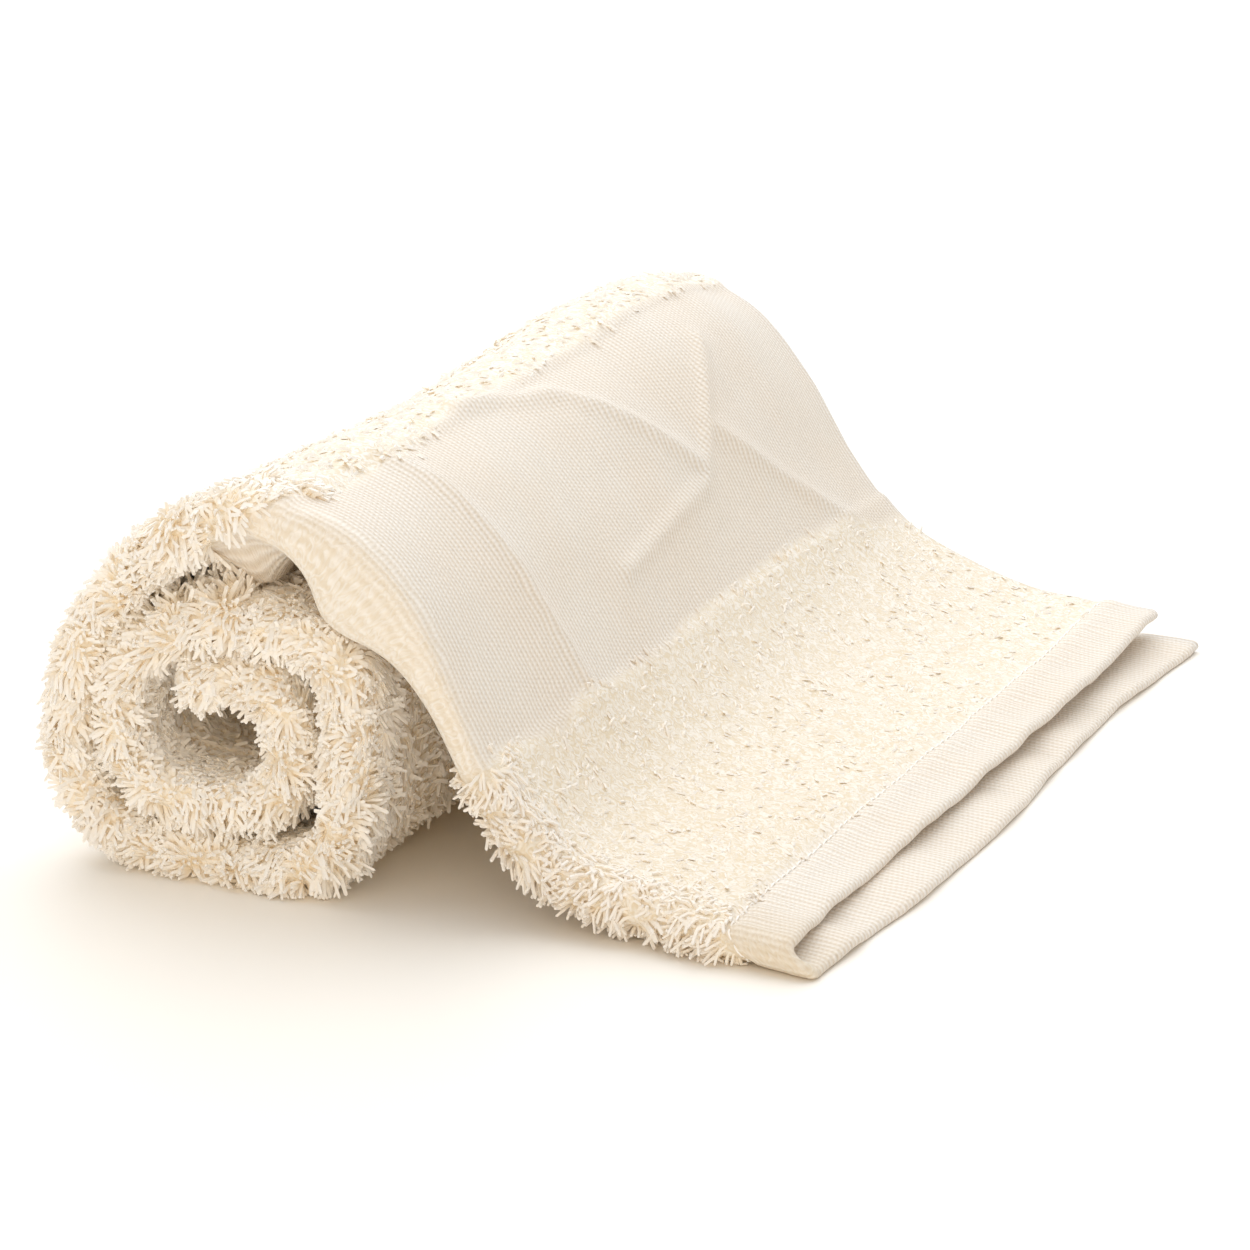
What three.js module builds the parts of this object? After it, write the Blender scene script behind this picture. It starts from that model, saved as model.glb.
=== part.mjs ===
// A terry bath towel that lies rolled up, with its free end laid out in front of the roll.
// The cloth is one piece. It is folded once along its length, so it is two layers thick
// everywhere: the fold is at the near end of the roll, and the two selvedges are at the far end.
// Then it is rolled up from its hidden end. X runs along the free end, away from the roll, Y
// runs along the roll from the fold to the selvedges, and Z is up. The origin is on the surface
// that the towel rests on, under the middle of its box. All sizes are millimetres.
import * as THREE from "three";

// The cloth.
const FOLDED_WIDTH = 250; // the towel is 500 wide before it is folded in half
const TERRY = 4.6; // one layer of looped cloth, with its loops pressed down by the roll
const BAND = 1.6; // the flat woven band has no loops
const HEM = 3.2; // the hem is the flat weave turned under twice
const LAYER_GAP = 0.6; // between the two layers where terry lies on terry
const BAND_GAP = 3.0; // the two layers of the band stand further apart: they have no pile
const HEM_GAP = { atFold: 1.2, atSelvedge: 6.2 };
const CORE_HEM_GAP = 1.0;

// Where each kind of cloth ends, measured along the towel from the edge of its hem.
const HEM_END = 15;
const BAND_START = 82;
const BAND_END = 148;
const CORE_HEM = 15; // the hem of the rolled-in end, back from that end
const STEP_LENGTH = 3; // the pile of the terry ends this softly at the band and the hem

// The middle of the doubled cloth, from the hem to the top of the roll. Each row is one bend
// of the free end, at the fold and at the selvedges.
const FREE_END = [
  { bend: "hem edge", foldX: 77, foldZ: 3.8, selvedgeX: 76, selvedgeZ: 6.3 },
  { bend: "stitching", foldX: 61, foldZ: 5.0, selvedgeX: 61, selvedgeZ: 7.0 },
  { bend: "flat", foldX: 44, foldZ: 7.2, selvedgeX: 46, selvedgeZ: 7.4 },
  { bend: "foot", foldX: 22, foldZ: 11.8, selvedgeX: 26, selvedgeZ: 13.4 },
  { bend: "low slope", foldX: 10, foldZ: 24, selvedgeX: 8, selvedgeZ: 22.4 },
  { bend: "mid slope", foldX: -2.2, foldZ: 47, selvedgeX: -6.8, selvedgeZ: 39 },
  { bend: "high slope", foldX: -12.6, foldZ: 63.6, selvedgeX: -19.8, selvedgeZ: 59.6 },
  { bend: "shoulder", foldX: -26, foldZ: 75.5, selvedgeX: -33.5, selvedgeZ: 74.6 },
];

// The roll, as the points where the middle of the doubled cloth turns from one side to the
// next. Between two rows the cloth follows a quarter of a superellipse, and its roundness is
// the exponent: 2 is an ellipse, less is flatter and more is squarer.
const TURNS = [
  { side: "top", foldX: -44, foldZ: 80, selvedgeX: -49, selvedgeZ: 81, roundness: 1.75 },
  { side: "left", foldX: -89.4, foldZ: 30, selvedgeX: -86, selvedgeZ: 34, roundness: 3.0 },
  { side: "bottom", foldX: -50, foldZ: 4.9, selvedgeX: -54, selvedgeZ: 4.7, roundness: 3.8 },
  { side: "right", foldX: -23.5, foldZ: 40, selvedgeX: -24, selvedgeZ: 40, roundness: 2.6 },
  { side: "top", foldX: -46, foldZ: 56, selvedgeX: -49, selvedgeZ: 63, roundness: 2.45 },
  { side: "left", foldX: -77, foldZ: 35, selvedgeX: -73, selvedgeZ: 37, roundness: 2.5 },
  { side: "bottom", foldX: -56, foldZ: 17.6, selvedgeX: -56, selvedgeZ: 16.6, roundness: 2.5 },
  { side: "right", foldX: -37, foldZ: 30, selvedgeX: -36.4, selvedgeZ: 34, roundness: 2.4 },
  { side: "top", foldX: -50, foldZ: 44.2, selvedgeX: -50, selvedgeZ: 50, roundness: 2.0 },
];
const ROLLED_END = { foldX: -63.5, foldZ: 42.6, selvedgeX: -61, selvedgeZ: 48.6 };
const POINTS_PER_QUARTER = 6;

// How unevenly the cloth lies. The top of the roll dips and rises between its two ends.
const RIDGE_LINE = [
  { fromFold: 0, higher: 0 },
  { fromFold: 50, higher: 0.6 },
  { fromFold: 105, higher: -0.6 },
  { fromFold: 150, higher: 2.2 },
  { fromFold: 188, higher: 5.0 },
  { fromFold: 218, higher: 4.6 },
  { fromFold: 250, higher: 0.2 },
];

// How far the edges of the two hems reach past the end of the middle of the cloth.
const HEM_EDGES = [
  { fromFold: 0, upper: -1, lower: 4.5 },
  { fromFold: 20, upper: -5, lower: 6 },
  { fromFold: 55, upper: -6, lower: 9 },
  { fromFold: 105, upper: -2.5, lower: 10 },
  { fromFold: 150, upper: 0, lower: 8.2 },
  { fromFold: 190, upper: 1, lower: 7.6 },
  { fromFold: 222, upper: 1, lower: 9.5 },
  { fromFold: 250, upper: 0.5, lower: 11.5 },
];
const HEM_SHIFT_FADES = 50;

// How far the fold stands out at the near end, along the towel from its hem.
const FOLD_EDGE = [
  { fromHem: 0, out: 4.0 },
  { fromHem: 14, out: 3.0 },
  { fromHem: 30, out: 0.4 },
  { fromHem: 58, out: -1.0 },
  { fromHem: 84, out: 0 },
  { fromHem: 150, out: 0.6 },
  { fromHem: 205, out: 0.6 },
  { fromHem: 262, out: -1.2 },
  { fromHem: 310, out: 0.8 },
  { fromHem: 372, out: -1.4 },
  { fromHem: 430, out: 0.6 },
  { fromHem: 500, out: -1.6 },
];

const PUFF = { rise: 3.5, reach: 22 }; // the band stands open at its fold
const INNER_FOLD = { along: 155, fromFold: 9, depth: 8, length: 9, width: 14 };

// Soft ridges of the upper layer of the band. Each runs from one place to another, given along
// the towel from its hem and across it from the fold.
const RIDGES = [
  { name: "long pleat", s1: 150, y1: 46, s2: 84, y2: 57, height: 1.9, width: 12 },
  { name: "arch, high end", s1: 152, y1: 90, s2: 142, y2: 124, height: 2.2, width: 11 },
  { name: "arch, low end", s1: 142, y1: 124, s2: 111, y2: 160, height: 1.8, width: 10 },
  { name: "bent pleat, high end", s1: 134, y1: 198, s2: 107, y2: 157, height: 1.7, width: 9 },
  { name: "bent pleat, low end", s1: 107, y1: 157, s2: 101, y2: 100, height: 1.5, width: 10 },
  { name: "far pleat", s1: 118, y1: 172, s2: 82, y2: 222, height: 1.6, width: 10 },
];

// Mesh steps.
const FREE_STATION = 6.2;
const ROLL_STATION = 8.4;
const CORE_STATION = 6.2;
const UPPER_STEPS = 20;
const LOWER_STEPS = 10;
const FOLD_STEPS = 5;

const lerp = THREE.MathUtils.lerp;
const bell = (distance, width) => Math.exp(-((distance / width) ** 2));
const rise = (value, edge, softness) =>
  THREE.MathUtils.smoothstep(value, edge - softness / 2, edge + softness / 2);

// A value read from one column of a table at a place between two of its rows.
function fromTable(table, place, column, at) {
  const next = table.findIndex((row) => row[place] > at);
  if (next === 0) return table[0][column];
  if (next < 0) return table.at(-1)[column];
  const [a, b] = [table[next - 1], table[next]];
  const share = THREE.MathUtils.smoothstep(at, a[place], b[place]);
  return lerp(a[column], b[column], share);
}

// A quarter of a superellipse between two sides of the roll. The cloth leaves a top or a
// bottom level, and a left or a right side upright.
function quarterTurn(from, to, end, startsLevel) {
  const points = [];
  for (let i = 0; i < POINTS_PER_QUARTER; i++) {
    const angle = ((i / POINTS_PER_QUARTER) * Math.PI) / 2;
    const first = Math.sin(angle) ** (2 / from.roundness);
    const second = 1 - Math.cos(angle) ** (2 / from.roundness);
    const x = lerp(from[end + "X"], to[end + "X"], startsLevel ? first : second);
    const z = lerp(from[end + "Z"], to[end + "Z"], startsLevel ? second : first);
    points.push(new THREE.Vector3(x, 0, z));
  }
  return points;
}

// The middle of the doubled cloth at one end of the roll, from the hem to the rolled-in end.
function clothLine(end) {
  const bend = (row) => new THREE.Vector3(row[end + "X"], 0, row[end + "Z"]);
  const points = FREE_END.map(bend);
  for (let i = 0; i + 1 < TURNS.length; i++) {
    points.push(...quarterTurn(TURNS[i], TURNS[i + 1], end, i % 2 === 0));
  }
  points.push(bend(TURNS.at(-1)), bend(ROLLED_END));
  const line = new THREE.CatmullRomCurve3(points, false, "centripetal");
  line.arcLengthDivisions = 2000;
  return line;
}

const foldLine = clothLine("fold");
const selvedgeLine = clothLine("selvedge");
const TOWEL_LENGTH = (foldLine.getLength() + selvedgeLine.getLength()) / 2;
const FIRST_TURN_END = 372;

// The middle of the doubled cloth at a length s from the hem and a distance y from the fold.
function clothPoint(s, y) {
  const share = THREE.MathUtils.clamp(s / TOWEL_LENGTH, 0, 1);
  const across = THREE.MathUtils.clamp(y / FOLDED_WIDTH, 0, 1);
  const point = foldLine.getPointAt(share).lerp(selvedgeLine.getPointAt(share), across);
  const upTheRoll = THREE.MathUtils.smoothstep(point.z, 10, 80);
  point.z += fromTable(RIDGE_LINE, "fromFold", "higher", y) * upTheRoll;
  return point;
}

// The same with the outward side of the cloth there. It runs straight on past the hem.
function clothFrame(s, y) {
  const reach = 1.5;
  const inside = Math.max(s, 0);
  const ahead = clothPoint(Math.min(inside + reach, TOWEL_LENGTH), y);
  const behind = clothPoint(Math.max(inside - reach, 0), y);
  const along = ahead.sub(behind).normalize();
  const point = clothPoint(inside, y).addScaledVector(along, s - inside);
  return { point, outward: new THREE.Vector3(along.z, 0, -along.x) };
}

// A value for each kind of cloth. It steps softly from one kind to the next along the towel.
function byKind(s, hem, terry, band, coreHem) {
  const pastHem = rise(s, HEM_END, STEP_LENGTH);
  const inBand = rise(s, BAND_START, STEP_LENGTH) - rise(s, BAND_END, STEP_LENGTH);
  const inCore = rise(s, TOWEL_LENGTH - CORE_HEM, STEP_LENGTH);
  return lerp(lerp(lerp(hem, terry, pastHem), band, inBand), coreHem, inCore);
}

const clothThickness = (s) => byKind(s, HEM, TERRY, BAND, HEM);

// Half the distance between the middles of the two layers. The band stands open at the fold.
function halfSpacing(s, y) {
  const hemGap = lerp(HEM_GAP.atFold, HEM_GAP.atSelvedge, y / FOLDED_WIDTH);
  const gap = byKind(s, hemGap, LAYER_GAP, BAND_GAP, CORE_HEM_GAP);
  const open = rise(s, BAND_START + 34, 60) - rise(s, BAND_END + 6, 14);
  return (clothThickness(s) + gap) / 2 + PUFF.rise * Math.max(0, open) * bell(y, PUFF.reach);
}

// The height of the pleats on the upper layer, as soft ridges along straight lines.
function pleats(s, y) {
  let height = 0;
  for (const ridge of RIDGES) {
    const run = new THREE.Vector2(ridge.s2 - ridge.s1, ridge.y2 - ridge.y1);
    const from = new THREE.Vector2(s - ridge.s1, y - ridge.y1);
    const share = THREE.MathUtils.clamp(from.dot(run) / run.lengthSq(), 0, 1);
    const distance = from.addScaledVector(run, -share).length();
    height = Math.max(height, ridge.height * bell(distance, ridge.width));
  }
  return height;
}

// The layer that faces the roll wrinkles inwards, just under the place where it leaves the roll.
function innerFold(s, y) {
  const { along, fromFold, depth, length, width } = INNER_FOLD;
  return depth * bell(s - along, length) * bell(y - fromFold, width);
}

// The doubled cloth across its width: along the upper layer, round the fold and back along the
// lower one. Each row pairs the outer face of the cloth with its inner one.
function crossSection(s) {
  const half = clothThickness(s) / 2;
  const spacing = halfSpacing(s, 0);
  const start = spacing + half - fromTable(FOLD_EDGE, "fromHem", "out", s);
  const rows = [];
  const layer = (side, steps, fromSelvedge) => {
    for (let i = 0; i <= steps; i++) {
      const share = fromSelvedge ? 1 - i / steps : i / steps;
      const y = lerp(start, FOLDED_WIDTH, share);
      const middle = side * halfSpacing(s, y - start);
      const shift = side > 0 ? pleats(s, y) : -innerFold(s, y - start);
      const offset = [middle + shift + side * half, middle + shift - side * half];
      rows.push({ y: [y, y], offset, lower: side < 0 });
    }
  };
  layer(1, UPPER_STEPS, true);
  for (let i = 1; i < FOLD_STEPS; i++) {
    const angle = (i / FOLD_STEPS) * Math.PI;
    const radii = [spacing + half, spacing - half];
    rows.push({
      y: radii.map((radius) => start - radius * Math.sin(angle)),
      offset: radii.map((radius) => radius * Math.cos(angle)),
      lower: angle > Math.PI / 2,
    });
  }
  layer(-1, LOWER_STEPS, false);
  return rows;
}

// Lengths from the hem at which the cross-section is taken, closer where the cloth bends more.
function stations() {
  const soft = STEP_LENGTH / 2;
  const marks = [
    { from: 0, to: HEM_END - soft, step: FREE_STATION },
    { from: HEM_END - soft, to: HEM_END + soft, step: STEP_LENGTH },
    { from: HEM_END + soft, to: BAND_START - soft, step: FREE_STATION },
    { from: BAND_START - soft, to: BAND_START + soft, step: STEP_LENGTH },
    { from: BAND_START + soft, to: BAND_END - soft, step: FREE_STATION },
    { from: BAND_END - soft, to: BAND_END + soft, step: STEP_LENGTH },
    { from: BAND_END + soft, to: FIRST_TURN_END, step: ROLL_STATION },
    { from: FIRST_TURN_END, to: TOWEL_LENGTH - CORE_HEM - soft, step: CORE_STATION },
    { from: TOWEL_LENGTH - CORE_HEM - soft, to: TOWEL_LENGTH - CORE_HEM + soft, step: STEP_LENGTH },
    { from: TOWEL_LENGTH - CORE_HEM + soft, to: TOWEL_LENGTH, step: CORE_STATION },
  ];
  const lengths = [0];
  for (const { from, to, step } of marks) {
    const count = Math.ceil((to - from) / step);
    for (let i = 1; i <= count; i++) lengths.push(lerp(from, to, i / count));
  }
  return lengths;
}

// How far a layer is shifted along the towel, so that its hem ends where it should.
function hemShift(s, y, lower) {
  const reach = fromTable(HEM_EDGES, "fromFold", lower ? "lower" : "upper", y);
  return reach * (1 - THREE.MathUtils.smoothstep(s, 0, HEM_SHIFT_FADES));
}

// The closed surface: rings of paired outer and inner points, joined from station to station,
// with a strip across the cloth at the hem and at the rolled-in end.
function towelGeometry() {
  const positions = [];
  const indices = [];
  const lengths = stations();
  const ring = crossSection(0).length * 2;
  for (const s of lengths) {
    const rows = crossSection(s);
    const place = (row, face) => {
      const y = row.y[face];
      const { point, outward } = clothFrame(s - hemShift(s, y, row.lower), y);
      point.addScaledVector(outward, row.offset[face]);
      positions.push(point.x, y - FOLDED_WIDTH / 2, Math.max(0, point.z));
    };
    rows.forEach((row) => place(row, 0));
    rows.reverse().forEach((row) => place(row, 1));
  }
  const quad = (a, b, c, d) => indices.push(a, c, b, a, d, c);
  for (let i = 0; i + 1 < lengths.length; i++) {
    for (let j = 0; j < ring; j++) {
      const k = (j + 1) % ring;
      quad(i * ring + j, i * ring + k, (i + 1) * ring + k, (i + 1) * ring + j);
    }
  }
  const last = (lengths.length - 1) * ring;
  for (let j = 0; j + 1 < ring / 2; j++) {
    const opposite = ring - 1 - j;
    quad(j, opposite, opposite - 1, j + 1);
    quad(last + j, last + j + 1, last + opposite - 1, last + opposite);
  }
  const geometry = new THREE.BufferGeometry();
  geometry.setAttribute("position", new THREE.Float32BufferAttribute(positions, 3));
  geometry.setIndex(indices);
  geometry.computeVertexNormals();
  return geometry;
}

const geometry = towelGeometry();
geometry.computeBoundingBox();
const middle = geometry.boundingBox.getCenter(new THREE.Vector3());

const cotton = new THREE.MeshStandardMaterial({ color: 0xf3ead9, roughness: 0.95, metalness: 0 });
const towel = new THREE.Mesh(geometry, cotton);
towel.name = "towel";
towel.position.set(-middle.x, -middle.y, 0);

const group = new THREE.Group();
group.add(towel);
export default group;
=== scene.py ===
import math
import bpy
import numpy as np
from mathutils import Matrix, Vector


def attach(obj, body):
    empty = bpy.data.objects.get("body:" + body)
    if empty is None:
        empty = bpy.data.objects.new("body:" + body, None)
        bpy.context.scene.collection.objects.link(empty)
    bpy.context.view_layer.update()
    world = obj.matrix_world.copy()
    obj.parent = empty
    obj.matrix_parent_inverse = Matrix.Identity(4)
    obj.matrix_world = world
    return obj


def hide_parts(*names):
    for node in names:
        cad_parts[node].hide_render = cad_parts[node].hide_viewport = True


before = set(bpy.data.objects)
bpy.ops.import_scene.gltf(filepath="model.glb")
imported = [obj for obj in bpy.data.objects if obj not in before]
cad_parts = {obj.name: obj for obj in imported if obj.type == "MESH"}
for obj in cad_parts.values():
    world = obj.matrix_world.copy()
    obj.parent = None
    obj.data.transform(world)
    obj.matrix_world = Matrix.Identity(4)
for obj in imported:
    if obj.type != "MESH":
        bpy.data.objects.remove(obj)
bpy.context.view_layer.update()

# The camera of the photograph: 0.95 m from the towel, 16 degrees above the table and 23 degrees
# round from the folded end, with a long lens.
azimuth, elevation = math.radians(23.31), math.radians(16.02)
aim = Vector((-0.01085, 0.00191, 0.02838))
level = math.cos(elevation)
back = Vector((math.sin(azimuth) * level, -math.cos(azimuth) * level, math.sin(elevation)))
camera = bpy.data.objects.new("camera", bpy.data.cameras.new("camera"))
camera.data.lens = 119.49
camera.data.sensor_width = 36
camera.location = aim + back * 0.95357
camera.rotation_euler = (-back).to_track_quat("-Z", "Y").to_euler()
bpy.context.collection.objects.link(camera)
bpy.context.scene.camera = camera

# The woven cloth: one piece of cream cotton, 500 mm wide and 505 mm long when it lies flat,
# folded in half along its length and rolled up. From its free end it has a hem, looped terry, a
# flat ribbed band, and terry again up to the hem rolled in at the other end.
# Sizes are millimetres, with y from the fold. MIDDLE moves them to the frame of the model.
METRES = 0.001
MIDDLE = np.array([-3.437, 123.093, 0])
FOLDED_WIDTH, HEM_END, BAND_START, BAND_END = 250.0, 15.0, 82.0, 148.0
# Bends of the free end from the hem up: x and z at the fold, then x and z at the selvedges.
FREE_END = [
    (77, 3.8, 76, 6.3),
    (61, 5.0, 61, 7.0),
    (44, 7.2, 46, 7.4),
    (22, 11.8, 26, 13.4),
    (10, 24, 8, 22.4),
    (-2.2, 47, -6.8, 39),
    (-12.6, 63.6, -19.8, 59.6),
    (-26, 75.5, -33.5, 74.6),
]
# Top, left, bottom and right of each wrap in the same columns, then the roundness of the
# quarter that follows.
TURNS = [
    (-44, 80, -49, 81, 1.75),
    (-89.4, 30, -86, 34, 3.0),
    (-50, 4.9, -54, 4.7, 3.8),
    (-23.5, 40, -24, 40, 2.6),
    (-46, 56, -49, 63, 2.45),
    (-77, 35, -73, 37, 2.5),
    (-56, 17.6, -56, 16.6, 2.5),
    (-37, 30, -36.4, 34, 2.4),
    (-50, 44.2, -50, 50, 2.0),
    (-63.5, 42.6, -61, 48.6, 2.0),
]
# From the fold: where the band begins and ends on the upper layer, as distances from the hem.
BAND_LOW = [
    (0, 81), (12, 84), (38, 80), (56, 84), (76, 82),
    (100, 81), (120, 84), (182, 84), (218, 82), (246, 74),
]
BAND_HIGH = [(0, 150), (25, 145), (55, 146), (73, 149), (98, 151), (172, 149), (250, 149)]
# From the fold: how much higher the top of the roll is, and how far each hem's edge reaches.
RIDGE_LINE = [(0, 0), (50, 0.6), (105, -0.6), (150, 2.2), (188, 5.0), (218, 4.6), (250, 0.2)]
UPPER_HEM = [
    (0, -1), (14, -2), (24, -2.5), (55, -2.5), (105, -1), (150, 0), (190, 1), (222, 1), (250, 0.5),
]
LOWER_HEM = [(0, 4.5), (20, 6), (55, 9), (105, 10), (150, 8.2), (190, 7.6), (222, 9.5), (250, 11.5)]
# From the hem: how far the fold stands out at the near end of the roll.
FOLD_EDGE = [
    (0, 4), (14, 3), (30, 0.4), (58, -1), (84, 0), (150, 0.6), (205, 0.6),
    (262, -1.2), (310, 0.8), (372, -1.4), (430, 0.6), (500, -1.6),
]
# Pleats of the upper layer: both ends as distances from the hem and the fold, height and width.
PLEATS = [
    (150, 46, 84, 57, 1.9, 12),
    (152, 90, 142, 124, 2.2, 11),
    (142, 124, 111, 160, 1.8, 10),
    (134, 198, 107, 157, 1.7, 9),
    (107, 157, 101, 100, 1.5, 10),
    (118, 172, 82, 222, 1.6, 10),
]
FOLD_ARC = 5.0


def smoothstep(value, low, high):
    """0 below low, 1 above high, and t * t * (3 - 2 * t) between them."""
    t = np.clip((value - low) / (high - low), 0, 1)
    return t * t * (3 - 2 * t)


def bell(distance, width):
    """exp(-(distance / width) ** 2)."""
    return np.exp(-((distance / width) ** 2))


def from_table(rows, at):
    """The second column of the rows at places in the first, with soft steps between rows."""
    rows = np.array(rows, float)
    at = np.clip(at, rows[0, 0], rows[-1, 0])
    row = np.clip(np.searchsorted(rows[:, 0], at, side="right") - 1, 0, len(rows) - 2)
    share = smoothstep(at, rows[row, 0], rows[row + 1, 0])
    return rows[row, 1] * (1 - share) + rows[row + 1, 1] * share


def cloth_line(column):
    """Running length and places of one edge of the cloth in X and Z: the bends of the free end,
    then quarters sin(a) ** (2 / n), 1 - cos(a) ** (2 / n), joined by a centripetal spline."""
    xz = slice(column, column + 2)
    turns = np.array(TURNS, float)
    points = [np.array(FREE_END, float)[:, xz]]
    angle = np.arange(6) / 6 * np.pi / 2
    for i in range(len(turns) - 2):
        power = 2 / turns[i, 4]
        shares = np.stack([np.sin(angle) ** power, 1 - np.cos(angle) ** power], axis=1)
        shares = shares[:, ::-1] if i % 2 else shares
        points.append(turns[i, xz] + (turns[i + 1, xz] - turns[i, xz]) * shares)
    knots = np.vstack(points + [turns[-2:, xz]])
    knots = np.vstack([2 * knots[0] - knots[1], knots, 2 * knots[-1] - knots[-2]])
    p0, p1, p2, p3 = (knots[k : len(knots) - 3 + k, None] for k in range(4))
    d0, d1, d2 = (
        np.linalg.norm(b - a, axis=2)[..., None] ** 0.5 for a, b in ((p0, p1), (p1, p2), (p2, p3))
    )
    leaving = ((p1 - p0) / d0 - (p2 - p0) / (d0 + d1) + (p2 - p1) / d1) * d1
    arriving = ((p2 - p1) / d1 - (p3 - p1) / (d1 + d2) + (p3 - p2) / d2) * d1
    t = (np.arange(40) / 40)[:, None]
    square = (-3 * p1 + 3 * p2 - 2 * leaving - arriving) * t**2
    curve = (2 * p1 - 2 * p2 + leaving + arriving) * t**3 + square + leaving * t + p1
    curve = np.vstack([curve.reshape(-1, 2), knots[-2:-1]])
    lengths = np.linalg.norm(np.diff(curve, axis=0), axis=1)
    return np.concatenate([[0], np.cumsum(lengths)]), curve


fold_line, selvedge_line = cloth_line(0), cloth_line(2)
LENGTH = (fold_line[0][-1] + selvedge_line[0][-1]) / 2


def cloth_middle(s, y):
    """X and Z of the middle of the doubled cloth: the two edge lines mixed by y."""
    across = np.clip(y / FOLDED_WIDTH, 0, 1)[..., None]
    near, far = (
        np.stack([np.interp(s / LENGTH * run[-1], run, line[:, k]) for k in (0, 1)], axis=-1)
        for run, line in (fold_line, selvedge_line)
    )
    middle = near * (1 - across) + far * across
    middle[..., 1] += from_table(RIDGE_LINE, y) * smoothstep(middle[..., 1], 10, 80)
    return middle


def by_kind(s, hem, terry, band, core_hem, low=BAND_START, high=BAND_END):
    """A value for each kind of cloth, with a 3 mm soft step from kind to kind."""
    in_band = smoothstep(s, low - 1.5, low + 1.5) - smoothstep(s, high - 1.5, high + 1.5)
    value = hem + (terry - hem) * smoothstep(s, HEM_END - 1.5, HEM_END + 1.5)
    value = value + (band - value) * in_band
    return value + (core_hem - value) * smoothstep(s, LENGTH - 16.5, LENGTH - 13.5)


def spacing(s, beyond, hem, terry, band, core_hem):
    """Half the distance between the middles of the two layers. The hems part towards the
    selvedges, and the band stands open at the fold."""
    puff = 2.8 * bell(s - 126, 24) * bell(beyond, 22)
    return by_kind(s, hem + beyond / FOLDED_WIDTH * 2.5, terry, band, core_hem) + puff


def band_edges(q):
    """Where the band begins and ends. On the lower layer it ends 24 mm further into the roll."""
    further = 24 * smoothstep(-q, -6, 10)
    return from_table(BAND_LOW, np.abs(q)), from_table(BAND_HIGH, np.abs(q)) + further


def pleats(s, y):
    """The highest of height * (0.55 bell(d, width) + 0.7 bell(d, 0.22 width)), with d the
    distance to the line of each pleat."""
    height = np.zeros(s.shape)
    for s1, y1, s2, y2, high, wide in PLEATS:
        long, deep = s2 - s1, y2 - y1
        share = np.clip(((s - s1) * long + (y - y1) * deep) / (long**2 + deep**2), 0, 1)
        d = np.hypot(s - s1 - share * long, y - y1 - share * deep)
        height = np.maximum(height, high * (0.55 * bell(d, wide) + 0.7 * bell(d, wide * 0.22)))
    return height


def hem_ripples(s, q):
    """Soft waves of the hem's edge and short puckers beside its seam."""
    wave = np.sin(q * 0.17 + 1.6 * np.sin(q * 0.043))
    wave = wave + 0.5 * np.sin(q * 0.41 + 1.3) * np.sin(q * 0.057)
    pucker = np.sin(q * 1.25 + 1.4 * np.sin(q * 0.19)) * bell(s - 11, 5)
    return 0.4 * wave * (1 - smoothstep(s, 2, 26)) + 0.22 * pucker


def sag(s, beyond, upper):
    """How far the layers hang below their even spacing: the band's inner layer bulges down near
    the fold and swells to a soft pillow 12 mm deep, and the upper hem lies 2.3 mm lower."""
    pillow = smoothstep(beyond, 0, 8) - smoothstep(beyond, 14, 36)
    pillow = pillow * (smoothstep(s, 144, 158) - smoothstep(s, 163, 177))
    inner_layer = 8.5 * bell(s - 127, 15) * bell(beyond, 20) + 12 * pillow
    upper_hem = 2.3 * (1 - smoothstep(s, 4, 26)) * smoothstep(beyond, 2, 50)
    return inner_layer * (1 - upper) + upper_hem * upper


def towel_place(s, q, high):
    """A place on the towel, s from the hem and q across the opened cloth from the fold, positive
    on the upper layer, at the height high outside the middle of its layer. The first FOLD_ARC
    millimetres of q each way are the half circle of the fold, squarer in the band."""
    s, q, high = np.broadcast_arrays(*(np.asarray(v, float) for v in (s, q, high)))
    start = spacing(s, 0, 3.8, 4.9, 3.1, 3.7) - from_table(FOLD_EDGE, s)
    turn = np.clip(q / FOLD_ARC, -1, 1) * np.pi / 2
    beyond = np.clip(np.abs(q) - FOLD_ARC, 0, None) * (FOLDED_WIDTH - start) / FOLDED_WIDTH
    radius = spacing(s, beyond, 2.2, 2.2, 2.3, 2.1) + high
    in_band = smoothstep(s, BAND_START, BAND_START + 12) - smoothstep(s, BAND_END - 8, BAND_END + 4)
    round_power = 1 - 0.42 * in_band * (turn > 0)
    y = start - radius * np.cos(turn) ** round_power + beyond
    offset = radius * np.sign(turn) * np.abs(np.sin(turn)) ** round_power
    upper = smoothstep(np.sin(turn), -1, 1)
    offset = offset + pleats(s, y) * upper + hem_ripples(s, q) - sag(s, beyond, upper)
    reach = from_table(UPPER_HEM, y) * upper + from_table(LOWER_HEM, y) * (1 - upper)
    at = s - reach * (1 - smoothstep(s, 0, 50))
    inside = np.clip(at, 0, LENGTH)
    before, after = (np.clip(inside + step, 0, LENGTH) for step in (-1.5, 1.5))
    along = cloth_middle(after, y) - cloth_middle(before, y)
    along = along / np.linalg.norm(along, axis=-1, keepdims=True)
    middle = cloth_middle(inside, y) + along * (at - inside)[..., None]
    x = middle[..., 0] + along[..., 1] * offset
    z = middle[..., 1] - along[..., 0] * offset
    return np.stack([x, y, z], axis=-1)


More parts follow.
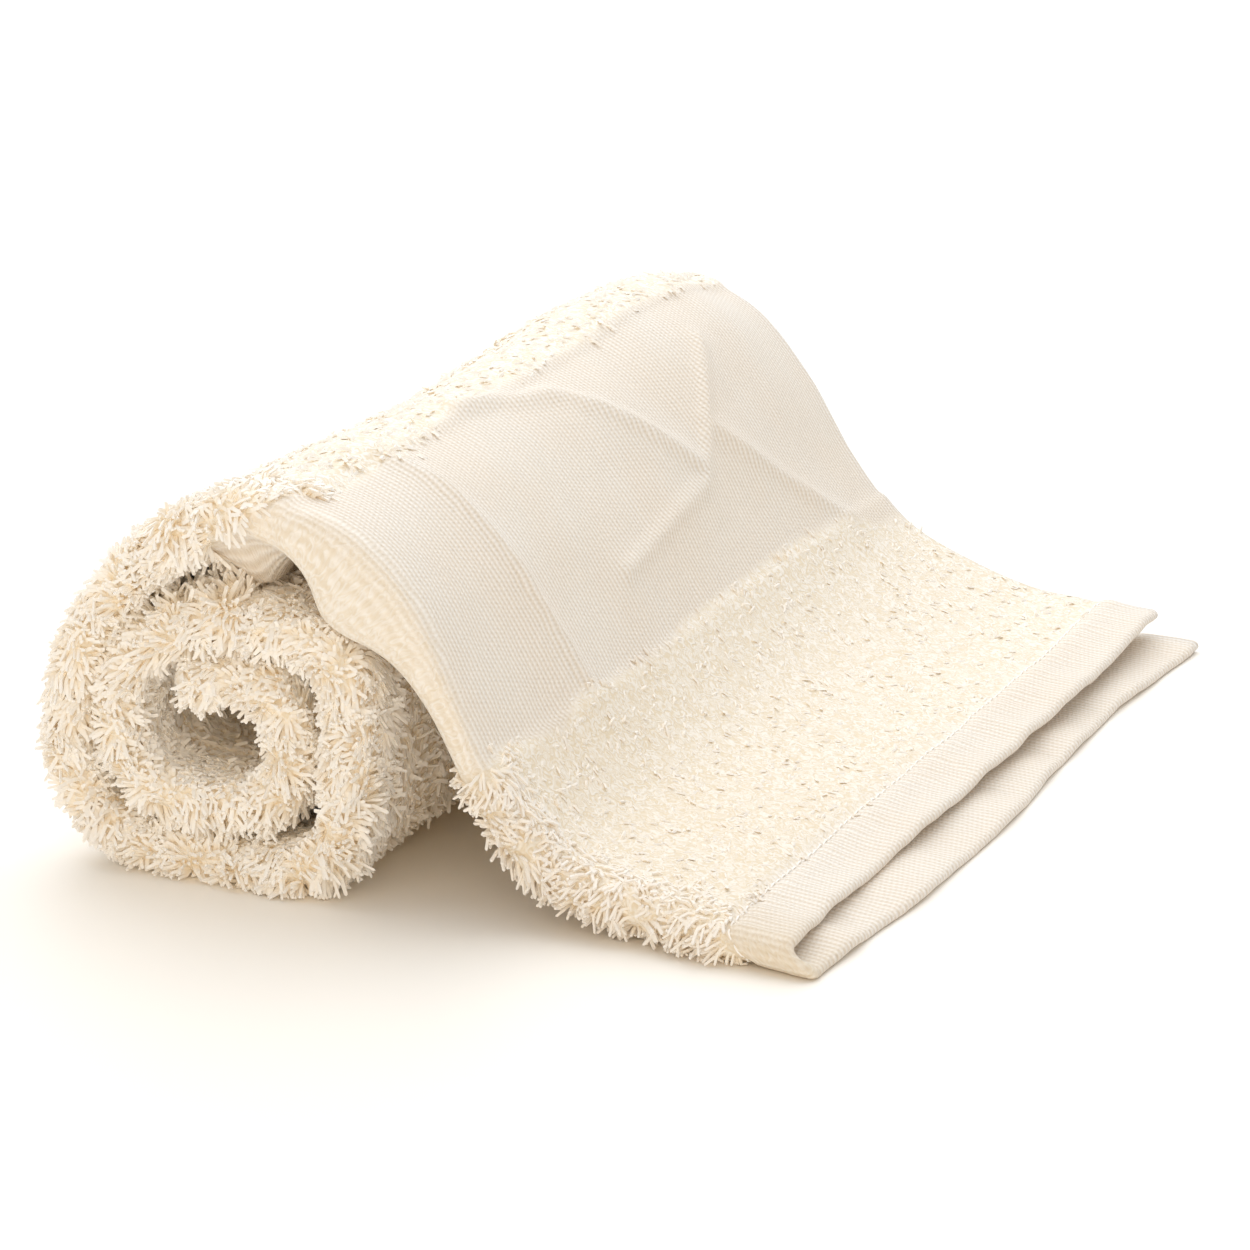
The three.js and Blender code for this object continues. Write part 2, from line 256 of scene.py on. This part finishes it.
def add_mesh(name, points, faces, material):
    """An object at the origin from points in millimetres and a list of face arrays."""
    mesh = bpy.data.meshes.new(name)
    points = (points - MIDDLE) * METRES
    corners = np.concatenate([f.reshape(-1) for f in faces]).astype(np.int32)
    sizes = np.concatenate([np.full(len(f), f.shape[1]) for f in faces])
    mesh.vertices.add(len(points))
    mesh.vertices.foreach_set("co", points.astype(np.float32).reshape(-1))
    mesh.loops.add(len(corners))
    mesh.loops.foreach_set("vertex_index", corners)
    mesh.polygons.add(len(sizes))
    mesh.polygons.foreach_set("loop_start", (np.cumsum(sizes) - sizes).astype(np.int32))
    mesh.polygons.foreach_set("use_smooth", np.ones(len(sizes), bool))
    mesh.update(calc_edges=True)
    mesh.materials.append(material)
    piece = bpy.data.objects.new(name, mesh)
    bpy.context.collection.objects.link(piece)
    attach(piece, "root")
    return piece


def point_value(piece, name, values):
    """A float attribute on the points of a mesh, for its material."""
    values = np.ascontiguousarray(values, dtype=np.float32).reshape(-1)
    piece.data.attributes.new(name, "FLOAT", "POINT").data.foreach_set("value", values)


def steps(marks):
    """Stations from (from, to, longest step) rows, without the doubled ends."""
    runs = [np.linspace(a, b, math.ceil((b - a) / step) + 1)[:-1] for a, b, step in marks]
    return np.concatenate(runs + [[marks[-1][1]]])


def ground_half(s):
    """Half the thickness of the ground: hem, ground of the terry, band and inner hem. The hem is
    rounded at its edge and drawn in along its seam."""
    half = by_kind(s, 1.35, 1.9, 0.8, 1.6)
    edge = np.clip(np.minimum(s, LENGTH - s) / 1.7, 0, 1)
    half = half * np.sqrt(np.clip(1 - (1 - edge) ** 2, 0.01, 1))
    return half * (1 - 0.45 * bell(s - 14.2, 1.3) - 0.45 * bell(LENGTH - 14.2 - s, 1.3))


stations = steps(
    [
        (0, 0.4, 0.2),
        (0.4, 1.7, 0.45),
        (1.7, 18, 1.4),
        (18, 80, 3.2),
        (80, 165, 1.35),
        (165, 372, 4.6),
        (372, LENGTH - 18, 4.4),
        (LENGTH - 18, LENGTH, 1.8),
    ]
)
rows = steps([(-255, -45, 6), (-45, -5, 2.5), (-5, 5, 0.7), (5, 35, 1.6), (35, 255, 1.9)])
station, row = np.meshgrid(stations, rows, indexing="ij")
half = ground_half(station)
outer = towel_place(station, row, half)
inner = towel_place(station, row, -half)[:, ::-1]
ring = np.concatenate([outer, inner], axis=1)
ring[..., 2] = np.maximum(ring[..., 2], 0.3)
count, width = ring.shape[:2]
index = np.arange(count * width).reshape(count, width)
turned = np.roll(index, -1, axis=1)
sides = np.stack([index[:-1], turned[:-1], turned[1:], index[1:]], axis=-1).reshape(-1, 4)
caps = []
for edge, flip in ((index[0], True), (index[-1], False)):
    one, other = edge[: width // 2], edge[: width // 2 - 1 : -1]
    cap = np.stack([one[:-1], one[1:], other[1:], other[:-1]], axis=-1)
    caps.append(cap[:, ::-1] if flip else cap)


def add_node(tree, kind, settings=(), **inputs):
    """A node with its settings and inputs. An input is a value or another node's output, and is
    given by its name, or as _ and its number where several have the same name."""
    node = tree.nodes.new(kind)
    for key, value in dict(settings).items():
        setattr(node, key, value)
    for key, value in inputs.items():
        socket = node.inputs[int(key[1:]) if key[0] == "_" else key]
        if isinstance(value, bpy.types.NodeSocket):
            tree.links.new(value, socket)
        else:
            socket.default_value = value
    return node


def math_node(tree, operation, a, b=0.0, c=0.0):
    """The output of one sum on two or three values."""
    return add_node(tree, "ShaderNodeMath", {"operation": operation}, _0=a, _1=b, _2=c).outputs[0]


def rise(tree, value, low, high, top):
    """0 at low up to top at high."""
    return add_node(tree, "ShaderNodeMapRange", _0=value, _1=low, _2=high, _3=0.0, _4=top).outputs[0]


def mix_colour(tree, share, one, other, blend="MIX"):
    """The first colour mixed with the other, or darkened by it with MULTIPLY."""
    kind = {"data_type": "RGBA", "blend_type": blend}
    return add_node(tree, "ShaderNodeMix", kind, _0=share, _6=one, _7=other).outputs[2]


def point_shade(tree, name):
    """A value on the points of the mesh, for the shader."""
    return add_node(tree, "ShaderNodeAttribute", {"attribute_name": name}).outputs["Fac"]


def woven_ribs():
    """A shader group: the height of plain-woven ribs, soft patches and curly fleece. The ribs run
    along the towel and are Pitch apart across it, and each is a row of beads 0.62 Pitch long, set
    off by half a bead from its neighbours. The UV map is in millimetres."""
    group = bpy.data.node_groups.new("woven ribs", "ShaderNodeTree")
    for name, way in (("Pitch", "INPUT"), ("Height", "OUTPUT"), ("Patch", "OUTPUT"), ("Fleece", "OUTPUT")):
        group.interface.new_socket(name, in_out=way, socket_type="NodeSocketFloat")
    pitch = group.nodes.new("NodeGroupInput").outputs["Pitch"]
    result = group.nodes.new("NodeGroupOutput")
    uv = add_node(group, "ShaderNodeUVMap", {"uv_map": "threads"}).outputs["UV"]

    def noise(**scale):
        """A smooth random value over the cloth."""
        return add_node(group, "ShaderNodeTexNoise", {"noise_dimensions": "2D"}, Vector=uv, **scale).outputs[0]

    place = add_node(group, "ShaderNodeSeparateXYZ", Vector=uv)
    across = math_node(group, "MULTIPLY_ADD", noise(Scale=0.11, Detail=2.0), 1.6, place.outputs["Y"])
    rib = math_node(group, "DIVIDE", across, pitch)
    ridge = math_node(group, "SINE", math_node(group, "MULTIPLY", rib, math.tau))
    odd = math_node(group, "MULTIPLY", math_node(group, "FLOOR", rib), math.pi)
    bead = math_node(group, "DIVIDE", place.outputs["X"], math_node(group, "MULTIPLY", pitch, 0.62))
    bead = math_node(group, "SINE", math_node(group, "MULTIPLY_ADD", bead, math.tau, odd))
    height = math_node(group, "MULTIPLY_ADD", bead, 0.4, ridge)
    height = math_node(group, "MULTIPLY_ADD", noise(Scale=1.7, Detail=3.0), 1.6, height)
    fleece = rise(group, noise(Scale=0.55, Detail=1.0, Distortion=1.6), 0.35, 0.65, 1.0)
    group.links.new(height, result.inputs["Height"])
    group.links.new(noise(Scale=0.035, Detail=3.0), result.inputs["Patch"])
    group.links.new(fleece, result.inputs["Fleece"])
    return group


def cotton(name, roughness):
    """A material of dull cotton, its node tree and its Principled shader."""
    material = bpy.data.materials.new(name)
    material.use_nodes = True
    shader = material.node_tree.nodes["Principled BSDF"]
    for key, value in {
        "Roughness": roughness,
        "Specular IOR Level": 0.15,
        "Sheen Weight": 0.1,
        "Sheen Roughness": 0.45,
        "Sheen Tint": (1.0, 0.97, 0.92, 1),
    }.items():
        shader.inputs[key].default_value = value
    return material, material.node_tree, shader


def painted_shade(s, q):
    """Painted shade on the free end, 0 to 1: most near the fold."""
    return smoothstep(-s, -95, -80) * (0.62 - 0.27 * smoothstep(q, 20, 170))


woven, tree, shader = cotton("woven cotton", 0.85)
ribs = add_node(tree, "ShaderNodeGroup", {"node_tree": woven_ribs()}, Pitch=1.65).outputs
ribbed = point_shade(tree, "ribbed")
# The ribs are painted darker and warmer where their beads are low: painted shade in the weave's grooves.
bead = rise(tree, ribs["Height"], -1.4, 2.4, 1.0)
shaded_weave = mix_colour(tree, bead, (0.70, 0.61, 0.49, 1), (0.95, 0.92, 0.88, 1))
patch = rise(tree, ribs["Patch"], 0.35, 0.65, 0.5)
shaded_weave = mix_colour(tree, patch, shaded_weave, (1.0, 0.965, 0.93, 1), "MULTIPLY")
# The terry's ground is painted darker and warmer in the low parts of its fleece: painted shade in its hollows.
fleece = mix_colour(tree, ribs["Fleece"], (0.84, 0.75, 0.60, 1), (0.955, 0.925, 0.87, 1))
colour = mix_colour(tree, ribbed, fleece, shaded_weave)
# Painted shade: the woven ground is darkened on the free end near the fold and on the hem where it turns round
# the fold.
colour = mix_colour(tree, point_shade(tree, "painted_shade"), colour, (0.90, 0.87, 0.82, 1), "MULTIPLY")
tree.links.new(colour, shader.inputs["Base Color"])
heights = {"_2": ribs["Fleece"], "_3": ribs["Height"]}
relief = add_node(tree, "ShaderNodeMix", {"data_type": "FLOAT"}, _0=ribbed, **heights).outputs[0]
bump = add_node(tree, "ShaderNodeBump", Strength=0.5, Distance=0.0002, Height=relief)
tree.links.new(bump.outputs[0], shader.inputs["Normal"])

ground = add_mesh("towel_cloth", ring.reshape(-1, 3), [sides] + caps, woven)
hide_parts("towel")
at_s, at_q = (np.concatenate([v, v[:, ::-1]], axis=1).reshape(-1) for v in (station, row))
# Along the fold the ribs fade into the fleece's relief and its warmer colour: painted shade on the fold's
# side, in the band and on the hems.
fold_fade_and_shade = 0.6 * bell(at_q + 1, 5.5) * (smoothstep(at_s, 60, 80) + smoothstep(-at_s, -18, -14))
point_value(ground, "ribbed", by_kind(at_s, 1, 0, 1, 1, *band_edges(at_q)) * (1 - fold_fade_and_shade))
# Painted shade for the woven ground: on the free end's terry, most near the fold, and on the hem round the
# fold.
shaded_terry = painted_shade(at_s, at_q) * smoothstep(at_s, 14, 17) * (1 - smoothstep(at_s, 80, 84))
point_value(ground, "painted_shade", shaded_terry + bell(at_q, 17) * smoothstep(-at_s, -17, -14))
corners = np.empty(len(ground.data.loops), np.int32)
ground.data.loops.foreach_get("vertex_index", corners)
uv = ground.data.uv_layers.new(name="threads")
round_fold = np.pi / 2 * spacing(at_s, 0, 3.8, 3.8, 3.1, 3.7) - FOLD_ARC
across = at_q + np.clip(at_q / FOLD_ARC, -1, 1) * round_fold
uv.data.foreach_set("uv", np.stack([at_s, across], axis=-1)[corners].astype(np.float32).reshape(-1))

# The looped pile: twisted cotton loops just under 1 mm thick and 3 to 5 mm long, in tufts that
# lean together. They stand out like fur round the fold and the rolled edges, and lie curled over
# on the free end and on top. Where the roll hides them they are fewer.
rng = np.random.default_rng(7)
pile, tree, shader = cotton("cotton pile", 0.9)
# The loops are painted warmer and darker towards their roots: painted shade deep in the pile.
depth = math_node(tree, "POWER", point_shade(tree, "along"), 0.6)
# The loops' random tone, with painted shade on the free end near the fold, darkens their colour.
shade = mix_colour(tree, point_shade(tree, "tone_and_shade"), (0.92, 0.90, 0.88, 1), (1, 1, 1, 1))
colour = mix_colour(tree, depth, (0.97, 0.90, 0.765, 1), (0.96, 0.945, 0.92, 1))
colour = mix_colour(tree, 1.0, colour, shade, "MULTIPLY")
tree.links.new(colour, shader.inputs["Base Color"])


def wander(a, b, size, seed):
    """A smooth value near -1 to 1: six sine waves about as long as size, in random directions."""
    waves = np.random.default_rng(seed)
    total = 0
    for turn, stretch, phase in waves.uniform((0, 0.7, 0), (np.pi, 1.5, 6.3), (6, 3)):
        total = total + np.sin((a * np.cos(turn) + b * np.sin(turn)) * 6.28 / (size * stretch) + phase)
    return total / 2.4


def unit(v):
    """v / |v|."""
    return v / np.maximum(np.linalg.norm(v, axis=-1, keepdims=True), 1e-9)


def add_tubes(name, path, width, out, sides=3, squash=1.0):
    """Tubes along rows of points, each with its own width at every point, drawn to a point at
    the tip, and with a flat side towards out. A squashed tube is flat below and has its ridge
    towards out."""
    n, bends = path.shape[0], path.shape[1] - 1
    run = unit(np.gradient(path, axis=1))
    twist = unit(np.cross(run, (out + rng.normal(0, 0.15, (n, 3)))[:, None]))
    inward = np.cross(run, twist)
    angle = np.pi / (2 if sides == 3 else 4) + np.arange(sides) * math.tau / sides
    angle = (angle if squash == 1 else -angle)[:, None]
    rim = twist[:, :, None] * np.cos(angle) + inward[:, :, None] * np.sin(angle) * squash
    rings = path[:, :-1, None] + rim[:, :-1] * width[:, :-1, None, None]
    points = np.concatenate([rings.reshape(n, -1, 3), path[:, -1:]], axis=1)
    each = points.shape[1]
    first = (np.arange(n) * each)[:, None, None]
    ring, corner = np.arange(bends - 1)[:, None] * sides, np.arange(sides)
    nearby = (corner + 1) % sides
    low, high = (ring + corner, ring + nearby), (ring + sides + nearby, ring + sides + corner)
    tubes = np.stack(low + high, axis=-1)
    end = (bends - 1) * sides
    tips = np.stack([end + corner, end + nearby, np.full(sides, each - 1)], axis=-1)
    tubes = (first[..., None] + tubes[None]).reshape(-1, 4)
    tips = (first + tips[None]).reshape(-1, 3)
    piece = add_mesh(name, points.reshape(-1, 3), [tubes, tips], pile)
    piece.data.shade_flat()
    return piece


def tuft_way(s, q):
    """Which way each loop leans, as shares along s and across it, and a number from 0 to 1 for
    its tuft. Tufts are about 4.6 mm wide and lean together in soft streams."""
    tuft = np.stack([s + 2 * wander(s, q, 15, 1), q + 2 * wander(s, q, 15, 2)]) / 4.6
    cell = np.floor(tuft)
    seed = np.sin(cell[0] * 12.99 + cell[1] * 78.23) * 43758.5 % 1
    flow = 2.4 * wander(s, q, 34, 3) + 1.3 * wander(s, q, 11, 5)
    turn = flow + (seed - 0.5) * 1.6 + rng.normal(0, 0.32, len(s))
    return np.stack([np.cos(turn), np.sin(turn)]) + (cell + 0.5 - tuft) * 0.7, seed


def add_pile(name, s, q, side, length, lean, curl, droop, thick, sides, squash):
    """Loops as tubes rooted on the cloth at s and q. side is 1 on the outer face and -1 between
    the layers. A loop of the given length starts at the angle lean from straight out, turns over
    by the angle curl * t along the way of its tuft, and hangs by droop * t ** 2. On the free end
    the loops get 0.4 shorter and lean 0.45 more away from the fold."""
    n = len(s)
    face = side * ground_half(s)
    root = towel_place(s, q, face)
    out = unit(towel_place(s, q, face + 0.3 * side) - towel_place(s, q, face - 0.3 * side))
    down = unit(towel_place(s + 0.4, q, face) - towel_place(s - 0.4, q, face))
    across = np.cross(out, down)
    way, seed = tuft_way(s, q)
    strength = np.linalg.norm(way, axis=0) * rng.uniform(0.7, 1.3, n)
    ahead = unit(down * way[0][:, None] + across * way[1][:, None])
    sideways = np.cross(out, ahead)
    lie = smoothstep(q, 4, 20) * smoothstep(-s, -92, -88)
    size = length * rng.uniform(0.8, 1.18, n) * (1 + 0.13 * wander(s, q, 12, 4)) * (1 - 0.4 * lie)
    t = np.array([0, 0.5, 0.95, 1])
    step = np.diff(t, prepend=0)
    bend = ((lean + 0.45 * lie) * strength)[:, None] + curl * rng.uniform(0.6, 1.3, (n, 1)) * t
    climb = np.cumsum(np.cos(bend) * step, axis=1) * size[:, None]
    slide = np.cumsum(np.sin(bend) * step, axis=1) * size[:, None]
    swing = rng.normal(0, 0.15, (n, 1)) + 0.45 * rng.normal(0, 1, (n, 1)) * t
    path = root[:, None] + out[:, None] * (climb - 0.4)[..., None]
    path = path + ahead[:, None] * (slide * np.cos(swing))[..., None]
    path = path + sideways[:, None] * (slide * np.sin(swing))[..., None]
    path[..., 2] -= droop * size[:, None] * t**2
    taper = np.interp(t, [0, 0.3, 0.75, 0.95, 1], [0.8, 1, 1.08, 0.85, 0])
    width = thick * rng.uniform(0.8, 1.2, (n, 1)) * taper
    path[..., 2] = np.maximum(path[..., 2], 0.25 + width)
    piece = add_tubes(name, path, width, out, sides, squash)
    point_value(piece, "along", np.tile(np.append(np.repeat(t[:-1], sides), 1), n))
    # Each loop's tone differs at random, and painted shade darkens the loops of the free end, most near the
    # fold.
    tone_and_shade = np.clip(0.86 - painted_shade(s, q) + 0.1 * (seed - 0.5) + rng.normal(0, 0.06, n), 0, 1)
    point_value(piece, "tone_and_shade", np.repeat(tone_and_shade, 3 * sides + 1))


def scatter(per_mm2, s_from, s_to, q_from, q_to):
    """Roots about as many to the square millimetre, jittered in an even grid."""
    pitch = 1 / math.sqrt(per_mm2)
    s, q = np.meshgrid(np.arange(s_from, s_to, pitch), np.arange(q_from, q_to, pitch), indexing="ij")
    jitter = rng.uniform(-0.5, 0.5, (2,) + s.shape) * pitch
    return (s + jitter[0]).reshape(-1), (q + jitter[1]).reshape(-1)


def off_band(s, q):
    """The roots that aren't on the band, with a slightly ragged line."""
    low, high = band_edges(q)
    ragged = 1.2 * wander(s, q, 9, 8)
    keep = (s < low + ragged) | (s > high + ragged)
    return s[keep], q[keep]


core = LENGTH - 17
# Loops to the square millimetre, from and to in s and in q, and the face they stand on. Then
# their length, lean, curl, droop and half thickness, and the sides and flatness of each tube.
for name, where, side, shape in (
    ("pile_at_fold_outer", (1.46, 143, 320, -17, 16), 1, (4.6, 0.6, 0.6, 0.25, 0.47, 3, 1)),
    ("pile_at_fold_inner", (1.46, 320, LENGTH - 2, -17, 16), 1, (4.2, 0.6, 0.6, 0.25, 0.47, 3, 1)),
    ("pile_at_free_fold", (0.9, 15.8, 86, -18, 18), 1, (3.9, 0.6, 0.8, 0.35, 0.4, 4, 1)),
    ("pile_of_free_end_near", (0.95, 15.5, 86, 18, 130), 1, (4.3, 0.6, 1.2, 0, 0.42, 3, 0.4)),
    ("pile_of_free_end_far", (0.74, 15.5, 86, 130, 254), 1, (4.5, 0.6, 1.2, 0, 0.44, 3, 0.4)),
    ("pile_on_top", (0.56, 143, 188, 16, 254), 1, (3.0, 0.95, 1.1, 0, 0.5, 3, 0.5)),
    ("pile_on_back", (0.24, 188, 250, 16, 254), 1, (4.0, 0.8, 0.8, 0.15, 0.58, 3, 1)),
    ("pile_under_roll", (0.06, 250, 300, 16, 254), 1, (3.0, 0.7, 0.8, 0, 0.55, 3, 1)),
    ("pile_on_front", (0.15, 300, 372, 60, 254), 1, (4.2, 0.8, 0.8, 0.15, 0.62, 3, 1)),
    ("pile_on_front_near", (0.5, 300, 372, 16, 60), 1, (4.2, 0.7, 0.8, 0.15, 0.5, 3, 1)),
    ("pile_under_first_wrap", (0.6, 150, 212, -50, -17), 1, (4.8, 0.6, 0.6, 0.4, 0.5, 3, 1)),
    ("pile_on_second_wrap", (0.5, 340, 415, 16, 55), 1, (4.4, 0.6, 0.6, 0, 0.5, 3, 1)),
    ("pile_between_wraps", (0.7, 372, 414, 4, 32), 1, (6.5, 0.35, 0.5, 0, 0.5, 3, 1)),
    ("pile_low_right", (0.6, 285, 335, -45, -17), 1, (4.6, 0.6, 0.6, 0, 0.5, 3, 1)),
    ("pile_in_core_right", (0.6, 440, 475, 16, 50), 1, (4.6, 0.6, 0.6, 0, 0.5, 3, 1)),
    ("pile_in_core", (0.26, 372, core, -100, -18), 1, (4.2, 0.6, 0.7, 0.2, 0.55, 3, 1)),
    ("pile_at_selvedge", (0.25, 150, core, 246, 254), -1, (3.0, 0.6, 0.8, 0.1, 0.5, 3, 1)),
    ("pile_inside_hem", (0.38, 15.5, 24, 2, 250), -1, (2.6, 0.8, 0.9, 0, 0.4, 3, 1)),
):
    s, q = scatter(*where)
    if side == 1:
        s, q = off_band(s, q)
    add_pile(name, s, q, side, *shape)

# The seam of each hem: a row of lockstitch 15 mm from its edge, 3.1 mm to the stitch, in cotton
# thread 0.45 mm thick that sinks into the cloth between the stitches.
for name, q_from, q_to, side in (
    ("stitches_outside", -250, 250, 1),
    ("stitches_inside_upper", 4, 250, -1),
    ("stitches_inside_lower", -250, -4, -1),
):
    t = np.linspace(0, 1, 5)
    q = np.arange(q_from, q_to, 3.1)[:, None] + 2.7 * t
    s = 14.4 + 0.25 * wander(q, q, 40, 9)
    path = towel_place(s, q, side * (ground_half(s) - 0.1 + 0.36 * np.sin(np.pi * t)))
    out = towel_place(s[:, 2], q[:, 2], side * 2.0) - towel_place(s[:, 2], q[:, 2], side * 1.0)
    thread = add_tubes(name, path, np.full(q.shape, 0.23), unit(out), 4)
    for kind in ("along", "tone_and_shade"):
        point_value(thread, kind, np.ones(len(thread.data.vertices)))

# The floor and the light: white paper 6 m across, one broad cool lamp above and behind the roll,
# and a low warm one in front that reaches under the free end and into the hollow.
floor = bpy.data.objects.new("floor", bpy.data.meshes.new("floor"))
floor.data.from_pydata([(-3, -3, 0), (3, -3, 0), (3, 3, 0), (-3, 3, 0)], [], [(0, 1, 2, 3)])
bpy.context.collection.objects.link(floor)
paper = bpy.data.materials.new("white paper")
paper.use_nodes = True
paper.node_tree.nodes["Principled BSDF"].inputs["Base Color"].default_value = (0.95, 0.93, 0.89, 1)
floor.data.materials.append(paper)
world = bpy.data.worlds.new("studio")
bpy.context.scene.world = world
world.use_nodes = True
world.node_tree.nodes["Background"].inputs["Color"].default_value = (1, 0.98, 0.96, 1)
world.node_tree.nodes["Background"].inputs["Strength"].default_value = 0.56
bpy.context.scene.view_settings.view_transform = "Standard"
bpy.context.scene.cycles.diffuse_bounces = 24
bpy.context.scene.cycles.max_bounces = 24
for name, place, size, energy, colour in (
    ("key", (-0.35, 0.62, 1.25), 2.2, 26.5, (0.96, 0.98, 1)),
    ("fill", (0.3, -1.4, 0.26), 1.7, 10.5, (1, 0.79, 0.52)),
):
    lamp = bpy.data.objects.new(name, bpy.data.lights.new(name, "AREA"))
    lamp.data.size = size
    lamp.data.energy = energy
    lamp.data.color = colour
    lamp.location = place
    lamp.rotation_euler = (-lamp.location).to_track_quat("-Z", "Y").to_euler()
    bpy.context.collection.objects.link(lamp)
